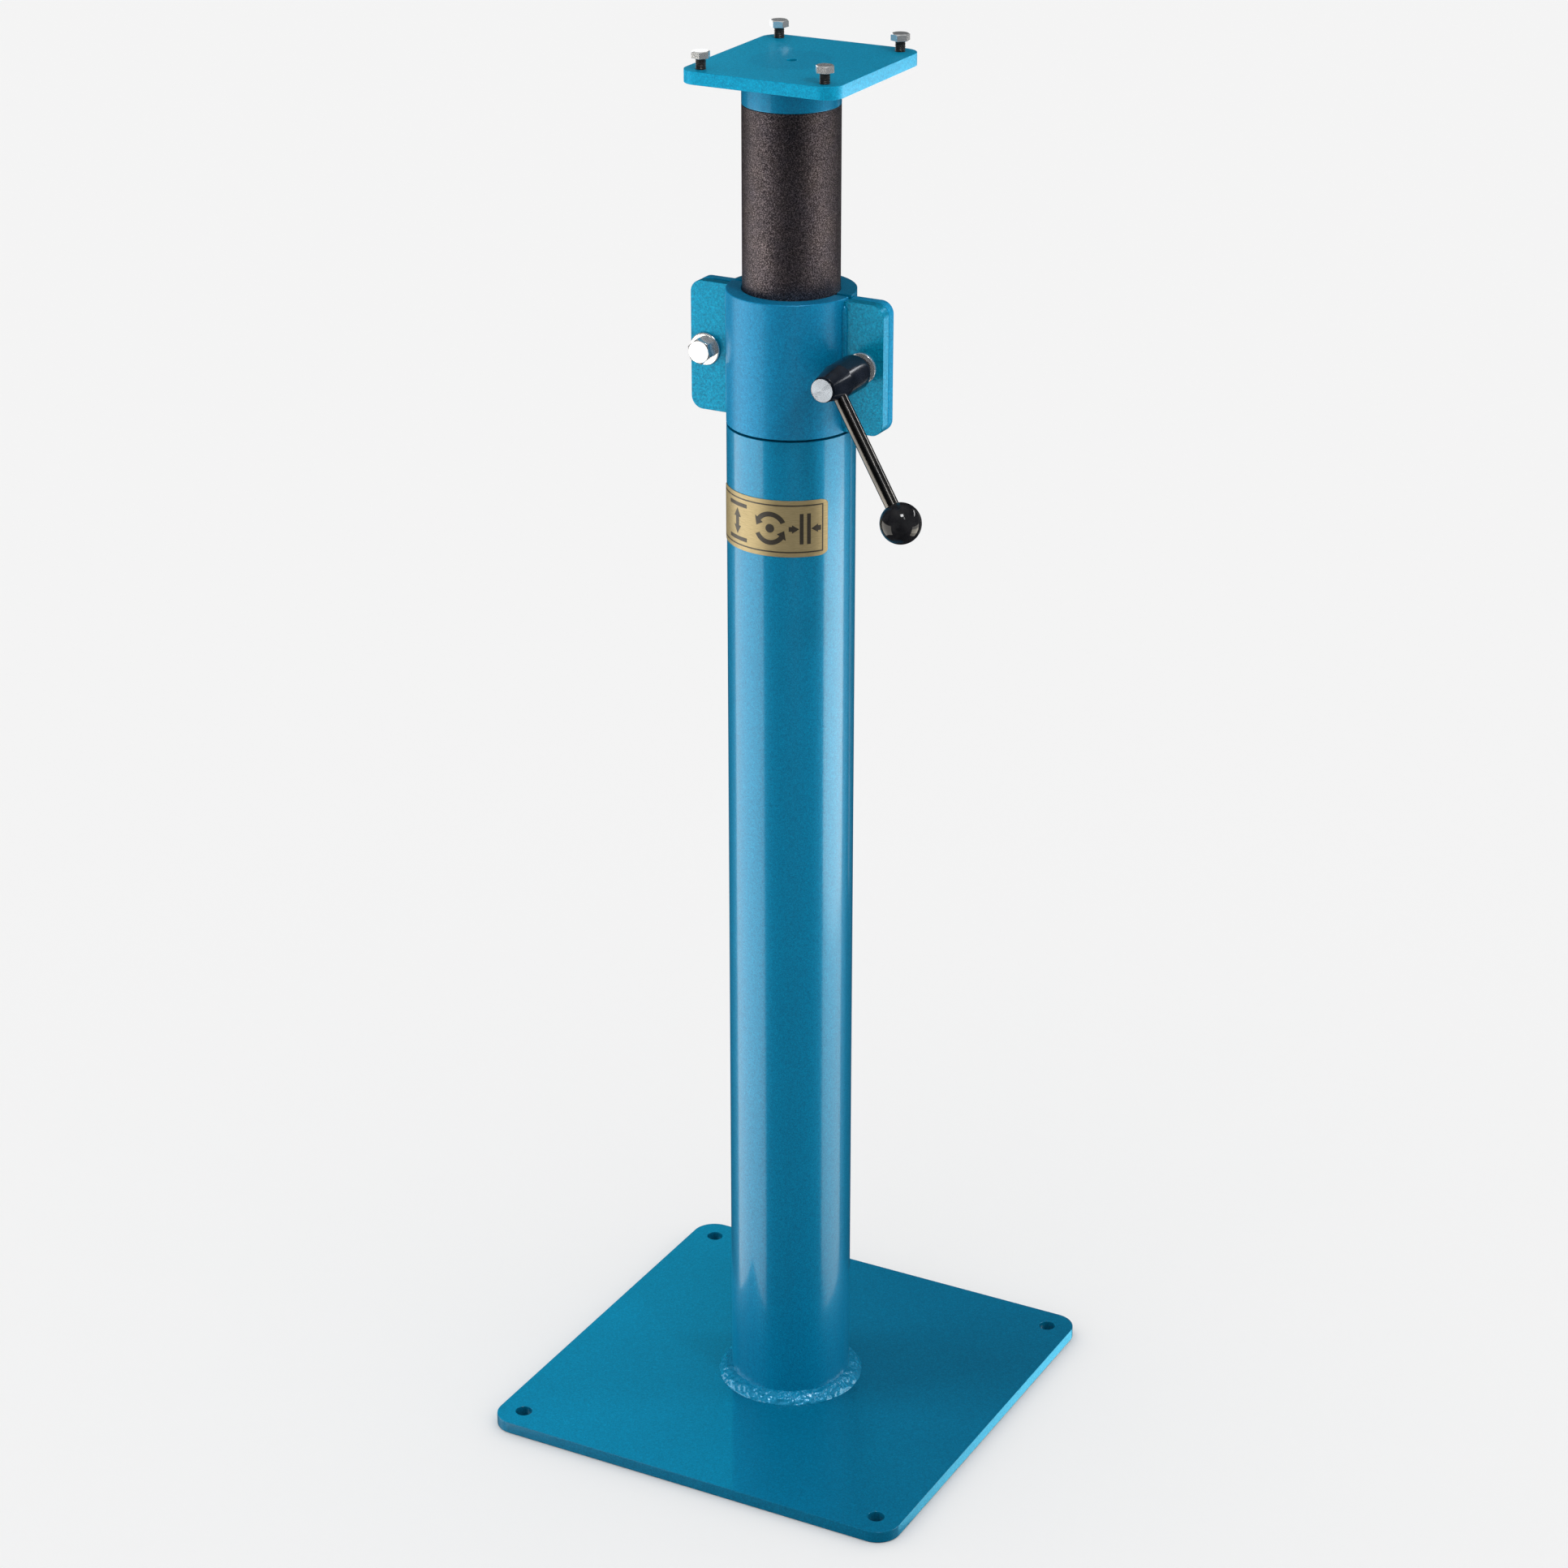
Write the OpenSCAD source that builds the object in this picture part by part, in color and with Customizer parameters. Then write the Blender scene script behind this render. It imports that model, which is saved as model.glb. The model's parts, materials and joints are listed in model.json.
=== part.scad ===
// Floor stand with a telescopic column, a split clamp and a ball lever.
// Millimetres. Origin at the centre of the base plate's underside, +Z up,
// -Y is the front, where the clamp jaw and its lever are.

/* [Base] */
// Side of the square base plate
base_side = 380; // [300:1:480]
// Thickness of the base plate
base_t = 10; // [6:0.5:16]
// Corner radius of the base plate
base_r = 20; // [5:1:40]
// Distance between floor bolt holes, both ways
base_pitch = 336; // [260:1:440]
// Floor bolt hole diameter
base_hole_d = 14; // [9:0.5:18]
// Width of the weld bead round the column foot
foot_weld_w = 11; // [3:0.5:14]

/* [Outer column] */
// Outer tube diameter
tube_od = 101.6; // [88.9:0.1:127]
// Bore of the outer tube
tube_bore = 77; // [76.5:0.1:80]
// Height of the horizontal slit under the clamp jaw
slit_z = 868; // [700:1:1000]
// Width of the horizontal slit
slit_h = 1.6; // [1:0.1:3]
// Top of the outer tube and of the jaw
tube_top = 977; // [800:1:1100]
// Gap between the jaw and the rear half of the tube
split_gap = 4; // [1:0.1:6]
// Bore of the clamp, jaw side and rear side
clamp_bore = 76.7; // [76.3:0.1:78]

/* [Clamp ears] */
// Distance from the column axis to the outer edge of an ear
ear_x = 84; // [75:1:100]
// Thickness of one left-hand ear
ear_t = 7; // [5:0.5:12]
// Bottom of the ears
ear_z0 = 871; // [850:1:900]
// Top of the ears
ear_z1 = 975; // [930:1:976]
// Corner radius of the ears
ear_r = 10; // [3:1:20]
// Gap between the two right-hand ears when the clamp is closed
ear_gap = 0.4; // [0.4:0.1:2]
// Radius of the weld beads at the ears
bead_r = 2.8; // [2:0.1:5]

/* [Clamp bolts] */
// Height of the left bolt
hinge_z = 920.6; // [890:0.1:950]
// Height of the clamp stud
stud_z = 924.5; // [890:0.1:950]
// Distance of the left bolt from the column axis
hinge_x = 71; // [62:1:76]
// Distance of the clamp stud from the column axis
stud_x = 66; // [62:0.5:76]
// Thread diameter of bolt and stud
thread_d = 12; // [10:1:16]
// Clearance hole in the ears
ear_hole_d = 13.5; // [11:0.5:18]

/* [Lever] */
// Angle of the rod from straight down, seen from the front
lever_phi = 36.6; // [0:0.1:90]
// Forward lean of the rod
lever_tilt = 11.3; // [0:0.1:20]
// Distance from the hub axis to the ball centre
lever_len = 118; // [80:0.1:150]
// Hub diameter
hub_d = 28; // [22:0.5:34]
// Diameter of the turned face on the hub
face_d = 18.6; // [12:0.2:24]
// Ball diameter
ball_d = 32; // [25:1:40]

/* [Inner column] */
// Inner tube diameter
col_od = 76.1; // [70:0.1:76.4]
// Wall of the inner tube
col_wall = 5; // [3:0.5:8]
// Lower end of the inner tube
col_z0 = 600; // [450:1:700]
// Bottom of the painted neck
neck_z0 = 1120.5; // [1000:0.5:1300]
// Underside of the top plate
plate_z0 = 1143; // [1020:0.5:1320]

/* [Top plate] */
// Width of the top plate, left to right
plate_x = 132; // [100:1:180]
// Depth of the top plate, front to back
plate_y = 147; // [100:1:180]
// Thickness of the top plate
plate_t = 10; // [6:0.5:16]
// Corner radius of the top plate
plate_r = 14; // [3:1:20]
// Sideways offset of the plate from the column axis
plate_dx = 6.5; // [0:0.5:12]
// Offset of the plate towards the back
plate_dy = 3.5; // [0:0.5:12]
// Distance between the screws, left to right
screw_px = 104; // [80:1:140]
// Distance between the screws, front to back
screw_py = 124; // [80:1:140]
// Length of screw shank left above the plate
screw_rise = 8; // [0:0.5:14]

/* [Gas spring] */
// Outer diameter of the gas spring cylinder
gas_d = 28; // [22:1:40]
// Rod diameter
gas_rod_d = 14; // [10:1:16]
// Lower end of the cylinder
gas_z0 = 842; // [800:1:900]
// Upper end of the cylinder
gas_z1 = 1086; // [1040:1:1100]
// Top of the spring post with its cap
post_top = 696; // [600:1:698]

/* [Nameplate] */
// Height of the nameplate
name_h = 46; // [20:1:80]
// Bottom of the nameplate
name_z0 = 775; // [400:1:810]
// Half of the arc that the nameplate covers
name_arc = 62; // [20:1:85]
// Thickness of the nameplate
name_t = 0.5; // [0.3:0.1:1]

/* [Hidden] */
$fn = 96;

blue = [0.03, 0.47, 0.66];
dark_coat = [0.20, 0.18, 0.17];
black = [0.05, 0.05, 0.06];
zinc = [0.78, 0.78, 0.76];
steel = [0.55, 0.55, 0.56];
gold = [0.72, 0.63, 0.42];
resin = [0.86, 0.84, 0.76];

big = 400;
tube_r = tube_od / 2;
col_r = col_od / 2;
col_ri = col_r - col_wall;
clamp_r = clamp_bore / 2;
half_gap = split_gap / 2;
jaw_z0 = slit_z + slit_h;
ear_face = half_gap + ear_t;
clamp_ear_t = ear_face - ear_gap / 2;
ear_root = sqrt(tube_r * tube_r - ear_face * ear_face);
thread_r = thread_d / 2;
washer_r = 12.2;
washer_t = 2.5;
nut_h = 10;
nut_af = 18;
play = 0.15;
collar_r = 9;
hub_back = ear_face + play + washer_t + 10.3;
hub_cone = hub_back + 29;
hub_front = hub_cone + 25;
rod_cross = hub_cone + 5;
rod_r = 5.6;
rod_tip_r = 5.5;
ball_cut = 14.6;
guide_run = 0.05;
bush_r = 40.5;
bush_z0 = 838;
bush_h = 24;
ring_z0 = col_z0 + 6;
ring_h = 20;
ring_seat_r = 36;
gas_r = gas_d / 2;
gas_bore = gas_r - 1.5;
gas_rod_r = gas_rod_d / 2;
gland_h = 12;
gas_wall_top = 6;
piston_z0 = 915;
piston_h = 18;
race_z0 = gas_z1 + 4;
race_h = 2.9;
race_gap = 3.2;
race_ri = 7.5;
race_ro = 14;
ball_ring_r = 10.8;
bearing_ball_r = 2.2;
bearing_groove_r = 2.5;
bearing_mid = race_z0 + race_h + race_gap / 2;
neck_bottom = race_z0 + 2 * race_h + race_gap;
pin_top = neck_bottom + 6;
post_r = 21.2;
post_ri = 18;
cap_h = 16;
plate_top = plate_z0 + plate_t;

// Plate with true round corners, standing on z = 0.
module round_plate(x, y, t, r) {
    translate([-x / 2 + r, -y / 2, 0]) cube([x - 2 * r, y, t]);
    translate([-x / 2, -y / 2 + r, 0]) cube([x, y - 2 * r, t]);
    for (sx = [-1, 1], sy = [-1, 1])
        translate([sx * (x / 2 - r), sy * (y / 2 - r), 0]) cylinder(r = r, h = t);
}

// Ring from a solid cylinder and a bore.
module ring(ro, ri, z0, h) {
    translate([0, 0, z0])
    difference() {
        cylinder(r = ro, h = h);
        translate([0, 0, -1]) cylinder(r = ri, h = h + 2);
    }
}

// Cylinder along Y from y0 to y1 at the given place.
module along_y(x, z, y0, y1, r) {
    translate([x, y0, z]) rotate([-90, 0, 0]) cylinder(r = r, h = y1 - y0);
}

// Washer along Y with broken edges.
module washer_y(x, z, y0, ro, ri, t) {
    translate([x, y0, z]) rotate([-90, 0, 0])
    rotate_extrude()
    polygon([[ri, 0], [ro - 0.5, 0], [ro, 0.5], [ro, t - 0.5], [ro - 0.5, t], [ri, t]]);
}

// Hexagon prism with the corners of one end turned off; af across flats.
module hex_head(af, h) {
    intersection() {
        cylinder(d = af / cos(30), h = h, $fn = 6);
        rotate_extrude()
        polygon([[0, 0], [af * 0.62, 0], [af * 0.62, h - af * 0.09], [af * 0.49, h], [0, h]]);
    }
}

// Hexagon nut along Y with a through hole.
module nut_y(x, z, y0) {
    translate([x, y0, z]) rotate([-90, 0, 0])
    difference() {
        hex_head(nut_af, nut_h);
        translate([0, 0, -1]) cylinder(r = thread_r, h = nut_h + 2);
    }
}

// Right-hand ear, t thick from y0 on, with its bolt hole at hole_x and hole_z.
module ear(y0, t, hole_x, hole_z) {
    ear_h = ear_z1 - ear_z0;
    difference() {
        union() {
            translate([ear_root - 2, y0, ear_z0])
                cube([ear_x - ear_r - ear_root + 2, t, ear_h]);
            translate([ear_x - ear_r - 1, y0, ear_z0 + ear_r])
                cube([ear_r + 1, t, ear_h - 2 * ear_r]);
            for (z = [ear_z0 + ear_r, ear_z1 - ear_r])
                along_y(ear_x - ear_r, z, y0, y0 + t, ear_r);
        }
        translate([0, 0, ear_z0 - 1]) cylinder(r = tube_r, h = ear_h + 2);
        along_y(hole_x, hole_z, y0 - 1, y0 + t + 1, ear_hole_d / 2);
    }
}

// Vertical weld bead in the corner between an ear and the tube.
module ear_bead(side, face_y) {
    difference() {
        translate([side * (ear_root + 0.6), face_y, ear_z0 + 3])
            cylinder(r = bead_r, h = ear_z1 - ear_z0 - 6);
        translate([0, 0, ear_z0 - 1]) cylinder(r = tube_r, h = ear_z1 - ear_z0 + 2);
        translate([-big / 2, face_y > 0 ? face_y - 20 : face_y, ear_z0 - 1])
            cube([big, 20, ear_z1 - ear_z0 + 2]);
    }
}

// Lever frame: +Z runs from the hub axis along the rod.
module lever_frame() {
    translate([stud_x, -rod_cross, stud_z])
    rotate([180 - lever_tilt, -lever_phi, 0])
    children();
}

// Hexagon screw standing in the top plate.
module vise_bolt(x, y, turn) {
    translate([x, y, 0]) {
        translate([0, 0, plate_z0 + 0.4]) cylinder(r = 4, h = plate_t + screw_rise);
        translate([0, 0, plate_top + screw_rise + 0.4]) rotate([0, 0, turn]) hex_head(13, 5.3);
    }
}

module base_plate() {
    color(blue)
    difference() {
        round_plate(base_side, base_side, base_t, base_r);
        for (sx = [-1, 1], sy = [-1, 1])
            translate([sx * base_pitch / 2, sy * base_pitch / 2, -1])
            cylinder(d = base_hole_d, h = base_t + 2);
    }
}

module foot_weld() {
    color(blue)
    rotate_extrude()
    polygon([[tube_r, base_t], [tube_r + foot_weld_w, base_t],
             [tube_r + foot_weld_w * 0.8, base_t + 2.6],
             [tube_r + foot_weld_w * 0.35, base_t + 5.6], [tube_r, base_t + 8]]);
}

module outer_column() {
    color(blue)
    difference() {
        translate([0, 0, base_t]) cylinder(r = tube_r, h = tube_top - base_t);
        translate([0, 0, base_t - 1]) cylinder(d = tube_bore, h = slit_z - base_t + 1);
        translate([0, 0, slit_z - 1]) cylinder(r = clamp_r, h = tube_top - slit_z + 2);
        translate([0, 0, bush_z0]) cylinder(r = bush_r, h = bush_h);
        translate([-big / 2, -big + half_gap, slit_z])
            cube([big, big, tube_top - slit_z + 1]);
    }
}

module rear_ear_left() {
    color(blue) mirror([1, 0, 0]) ear(half_gap, ear_t, hinge_x, hinge_z);
}

module rear_ear_right() {
    color(blue) ear(ear_gap / 2, clamp_ear_t, stud_x, stud_z);
}

module rear_ear_welds() {
    color(blue)
    for (side = [-1, 1]) ear_bead(side, ear_face);
}

module hinge_bolt() {
    color(zinc) {
        along_y(-hinge_x, hinge_z, -ear_face - play, ear_face + washer_t + nut_h + 3, thread_r);
        translate([-hinge_x, -ear_face - play, hinge_z]) rotate([90, 0, 0]) {
            rotate_extrude()
            polygon([[0, 0], [12.6, 0], [13, 0.4], [13, 1.4], [9.6, 3], [0, 3]]);
            translate([0, 0, 3]) rotate([0, 0, 12]) hex_head(nut_af, 8.5);
        }
    }
}

module hinge_washer() {
    color(zinc) washer_y(-hinge_x, hinge_z, ear_face, washer_r, thread_r + 0.3, washer_t);
}

module hinge_nut() {
    color(zinc) nut_y(-hinge_x, hinge_z, ear_face + washer_t);
}

module clamp_stud() {
    color(steel)
    along_y(stud_x, stud_z, -hub_cone + 6, ear_face + washer_t + nut_h + 3, thread_r);
}

module stud_washer() {
    color(zinc) washer_y(stud_x, stud_z, ear_face, washer_r, thread_r + 0.3, washer_t);
}

module stud_nut() {
    color(zinc) nut_y(stud_x, stud_z, ear_face + washer_t);
}

module nameplate() {
    color(gold)
    intersection() {
        ring(tube_r + name_t, tube_r, name_z0 - 1, name_h + 2);
        translate([0, -half_gap, name_z0 + name_h / 2]) rotate([90, 0, 0])
            round_plate(2 * tube_r * sin(name_arc), name_h, big, 4);
    }
}

module upper_guide_bush() {
    color(resin) ring(bush_r, col_r + guide_run, bush_z0, bush_h);
}

module spring_post() {
    color(steel) ring(post_r, post_ri, base_t, post_top - cap_h - base_t);
}

module post_cap() {
    color(steel)
    difference() {
        union() {
            translate([0, 0, post_top - cap_h]) cylinder(r = post_r, h = cap_h);
            translate([0, 0, post_top - cap_h - 12]) cylinder(r = post_ri, h = 13);
        }
        translate([0, 0, post_top - cap_h - 13]) cylinder(r = 5, h = cap_h + 14);
    }
}

module spring_rod() {
    color(zinc) {
        translate([0, 0, post_top]) cylinder(r = gas_rod_r, h = piston_z0 - post_top);
        translate([0, 0, post_top - cap_h - 10]) cylinder(r = 5, h = cap_h + 11);
        translate([0, 0, piston_z0 - 1]) cylinder(r = 4, h = piston_h + 1);
    }
}

module spring_piston() {
    color(black) ring(gas_bore - guide_run, 4, piston_z0, piston_h);
}

module clamp_jaw() {
    color(blue)
    difference() {
        translate([0, 0, jaw_z0]) cylinder(r = tube_r, h = tube_top - jaw_z0);
        translate([0, 0, jaw_z0 - 1]) cylinder(r = clamp_r, h = tube_top - jaw_z0 + 2);
        translate([-big / 2, -half_gap, jaw_z0 - 1])
            cube([big, big, tube_top - jaw_z0 + 2]);
    }
}

module jaw_ear_left() {
    color(blue) mirror([1, 0, 0]) ear(-ear_face, ear_t, hinge_x, hinge_z);
}

module jaw_ear_right() {
    color(blue) ear(-ear_face, clamp_ear_t, stud_x, stud_z);
}

module jaw_ear_welds() {
    color(blue)
    for (side = [-1, 1]) ear_bead(side, -ear_face);
}

module thrust_washer() {
    color(zinc)
    washer_y(stud_x, stud_z, -ear_face - play - washer_t, washer_r, thread_r + 0.5, washer_t);
}

module lever_hub() {
    color(black)
    difference() {
        translate([stud_x, 0, stud_z]) rotate([90, 0, 0])
        rotate_extrude()
        polygon([[0, hub_back - 10.2], [collar_r, hub_back - 10.2], [collar_r, hub_back],
                 [hub_d / 2 - 0.8, hub_back], [hub_d / 2, hub_back + 0.8],
                 [hub_d / 2, hub_cone], [face_d / 2 + 0.4, hub_front - 0.6],
                 [face_d / 2, hub_front], [0, hub_front]]);
        along_y(stud_x, stud_z, -hub_cone + 3, 0, thread_r + guide_run);
        lever_frame() translate([0, 0, 4]) cylinder(r = rod_r, h = 30);
    }
}

module lever_rod() {
    color(steel)
    lever_frame() {
        translate([0, 0, 4]) cylinder(r = rod_r, h = 10);
        translate([0, 0, 14])
            cylinder(r1 = rod_r, r2 = rod_tip_r, h = lever_len - ball_cut - 14);
        translate([0, 0, lever_len - ball_cut]) cylinder(r = rod_tip_r, h = 12);
    }
}

module ball_knob() {
    color(black)
    lever_frame()
    difference() {
        translate([0, 0, lever_len]) sphere(d = ball_d);
        translate([0, 0, lever_len - ball_cut - 10]) cylinder(r = ball_d, h = 10);
        translate([0, 0, lever_len - ball_cut - 1]) cylinder(r = rod_tip_r, h = 14);
    }
}

module spring_cylinder() {
    color(black)
    difference() {
        translate([0, 0, gas_z0]) cylinder(r = gas_r, h = gas_z1 - gas_z0);
        translate([0, 0, gas_z0 - 1])
            cylinder(r = gas_bore, h = gas_z1 - gas_z0 - gas_wall_top + 1);
    }
}

module rod_gland() {
    color(steel) ring(gas_bore, gas_rod_r + guide_run, gas_z0, gland_h);
}

module spring_head() {
    color(steel) {
        translate([0, 0, gas_z1]) cylinder(r = race_ro, h = race_z0 - gas_z1);
        translate([0, 0, race_z0 - 1]) cylinder(r = race_ri, h = pin_top - race_z0 + 1);
    }
}

module bearing_lower_race() {
    color(zinc)
    difference() {
        ring(race_ro, race_ri, race_z0, race_h);
        translate([0, 0, bearing_mid])
        rotate_extrude() translate([ball_ring_r, 0]) circle(r = bearing_groove_r);
    }
}

module bearing_balls() {
    color(zinc)
    for (i = [0:11])
        rotate([0, 0, i * 30]) translate([ball_ring_r, 0, bearing_mid])
        sphere(r = bearing_ball_r);
}

module bearing_upper_race() {
    color(zinc)
    difference() {
        ring(race_ro, race_ri + 0.5, race_z0 + race_h + race_gap, race_h);
        translate([0, 0, bearing_mid])
        rotate_extrude() translate([ball_ring_r, 0]) circle(r = bearing_groove_r);
    }
}

module inner_column() {
    color(dark_coat)
    difference() {
        ring(col_r, col_ri, col_z0, neck_z0 - col_z0);
        ring(col_r + 2, ring_seat_r, ring_z0, ring_h);
    }
}

module lower_guide_ring() {
    color(resin) ring(tube_bore / 2 - guide_run, ring_seat_r, ring_z0, ring_h);
}

module column_neck() {
    color(blue)
    difference() {
        union() {
            translate([0, 0, neck_z0]) cylinder(r = col_r, h = plate_z0 - neck_z0);
            translate([0, 0, neck_bottom]) cylinder(r = col_ri, h = neck_z0 - neck_bottom + 1);
        }
        translate([0, 0, neck_bottom - 1])
            cylinder(r = race_ri + guide_run, h = pin_top - neck_bottom + 3);
        translate([0, 0, plate_z0 - 20]) cylinder(r = 4, h = 21);
    }
}

module neck_weld() {
    color(blue)
    rotate_extrude()
    polygon([[col_r, plate_z0 - 4.5], [col_r + 1.6, plate_z0 - 3],
             [col_r + 3.2, plate_z0 - 1], [col_r + 3.6, plate_z0], [col_r, plate_z0]]);
}

module top_plate() {
    color(blue)
    difference() {
        translate([plate_dx, plate_dy, plate_z0])
            round_plate(plate_x, plate_y, plate_t, plate_r);
        for (sx = [-1, 1], sy = [-1, 1])
            translate([plate_dx + sx * screw_px / 2, plate_dy + sy * screw_py / 2, plate_z0 - 1])
            cylinder(r = 4, h = plate_t + 2);
        translate([0, 0, plate_z0 - 1]) cylinder(r = 4.2, h = plate_t + 2);
    }
}

module centre_screw() {
    color(black)
    difference() {
        translate([0, 0, plate_z0 - 18]) cylinder(r = 4, h = 25.5);
        translate([0, 0, plate_z0 + 3.5]) cylinder(d = 4 / cos(30), h = 6, $fn = 6);
    }
}

module vise_bolts() {
    color(zinc) {
        vise_bolt(plate_dx - screw_px / 2, plate_dy - screw_py / 2, 20);
        vise_bolt(plate_dx + screw_px / 2, plate_dy - screw_py / 2, 34);
        vise_bolt(plate_dx + screw_px / 2, plate_dy + screw_py / 2, 8);
        vise_bolt(plate_dx - screw_px / 2, plate_dy + screw_py / 2, 49);
    }
}

base_plate();
foot_weld();
outer_column();
rear_ear_left();
rear_ear_right();
rear_ear_welds();
hinge_bolt();
hinge_washer();
hinge_nut();
clamp_stud();
stud_washer();
stud_nut();
nameplate();
upper_guide_bush();
spring_post();
post_cap();
spring_rod();
spring_piston();
clamp_jaw();
jaw_ear_left();
jaw_ear_right();
jaw_ear_welds();
thrust_washer();
lever_hub();
lever_rod();
ball_knob();
spring_cylinder();
rod_gland();
spring_head();
bearing_lower_race();
bearing_balls();
inner_column();
lower_guide_ring();
column_neck();
neck_weld();
top_plate();
centre_screw();
vise_bolts();
bearing_upper_race();
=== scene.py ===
import json
import math

import bmesh
import bpy
from mathutils import Matrix, Vector, noise


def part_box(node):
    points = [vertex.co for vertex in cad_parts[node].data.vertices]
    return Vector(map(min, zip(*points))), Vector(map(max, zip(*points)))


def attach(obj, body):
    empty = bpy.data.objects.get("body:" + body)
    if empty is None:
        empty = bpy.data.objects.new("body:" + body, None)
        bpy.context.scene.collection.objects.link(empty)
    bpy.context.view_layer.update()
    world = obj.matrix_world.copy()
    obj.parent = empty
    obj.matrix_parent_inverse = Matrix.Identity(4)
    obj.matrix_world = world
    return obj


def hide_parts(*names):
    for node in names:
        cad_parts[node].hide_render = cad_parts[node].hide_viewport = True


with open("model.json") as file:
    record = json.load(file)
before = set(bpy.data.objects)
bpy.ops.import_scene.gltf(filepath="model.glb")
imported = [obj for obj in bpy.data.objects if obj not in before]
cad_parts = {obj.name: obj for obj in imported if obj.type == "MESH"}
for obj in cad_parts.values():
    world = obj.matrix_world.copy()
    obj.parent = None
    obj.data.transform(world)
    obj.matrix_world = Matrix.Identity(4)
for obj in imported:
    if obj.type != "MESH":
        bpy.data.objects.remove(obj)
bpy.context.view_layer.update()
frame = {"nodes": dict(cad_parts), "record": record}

MM = 0.001
scene = bpy.context.scene
scene.view_settings.view_transform = "Standard"

# ---------------------------------------------------------------- node helpers


def new_material(name):
    """An empty node material: (material, node tree, principled shader)."""
    mat = bpy.data.materials.new(name)
    mat.use_nodes = True
    tree = mat.node_tree
    return mat, tree, tree.nodes["Principled BSDF"]


def noise_node(tree, scale, detail=2.0, rough=0.5, coords=None):
    """Noise in the row frame's metres: scale is features per metre."""
    node = tree.nodes.new("ShaderNodeTexNoise")
    node.inputs["Scale"].default_value = scale
    node.inputs["Detail"].default_value = detail
    node.inputs["Roughness"].default_value = rough
    if coords is None:
        coords = tree.nodes.new("ShaderNodeTexCoord").outputs["Object"]
    tree.links.new(coords, node.inputs["Vector"])
    return node.outputs["Fac"]


def ramp(tree, fac, stops):
    """Colour ramp through (position, colour) stops."""
    node = tree.nodes.new("ShaderNodeValToRGB")
    while len(node.color_ramp.elements) < len(stops):
        node.color_ramp.elements.new(0.5)
    for element, (pos, colour) in zip(node.color_ramp.elements, stops):
        element.position = pos
        element.color = (*colour, 1.0)
    tree.links.new(fac, node.inputs["Fac"])
    return node.outputs["Color"]


def spread(tree, fac, low, high, out_low, out_high):
    """Maps low..high to out_low..out_high."""
    node = tree.nodes.new("ShaderNodeMapRange")
    for key, value in (("From Min", low), ("From Max", high),
                       ("To Min", out_low), ("To Max", out_high)):
        node.inputs[key].default_value = value
    tree.links.new(fac, node.inputs["Value"])
    return node.outputs["Result"]


def multiply(tree, a, b):
    """The product of two colour outputs."""
    node = tree.nodes.new("ShaderNodeMix")
    node.data_type = "RGBA"
    node.blend_type = "MULTIPLY"
    node.inputs["Factor"].default_value = 1.0
    tree.links.new(a, node.inputs["A"])
    tree.links.new(b, node.inputs["B"])
    return node.outputs["Result"]


def bump(tree, shader, *layers):
    """Chains bump layers (height, depth in metres, strength) into the shader's normal."""
    last = None
    for height, depth, strength in layers:
        node = tree.nodes.new("ShaderNodeBump")
        node.inputs["Distance"].default_value = depth
        node.inputs["Strength"].default_value = strength
        tree.links.new(height, node.inputs["Height"])
        if last is not None:
            tree.links.new(last, node.inputs["Normal"])
        last = node.outputs["Normal"]
    tree.links.new(last, shader.inputs["Normal"])


# ------------------------------------------------------------------- materials

DISC_EDGE = (30.5 * MM, 34.5 * MM)


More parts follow.
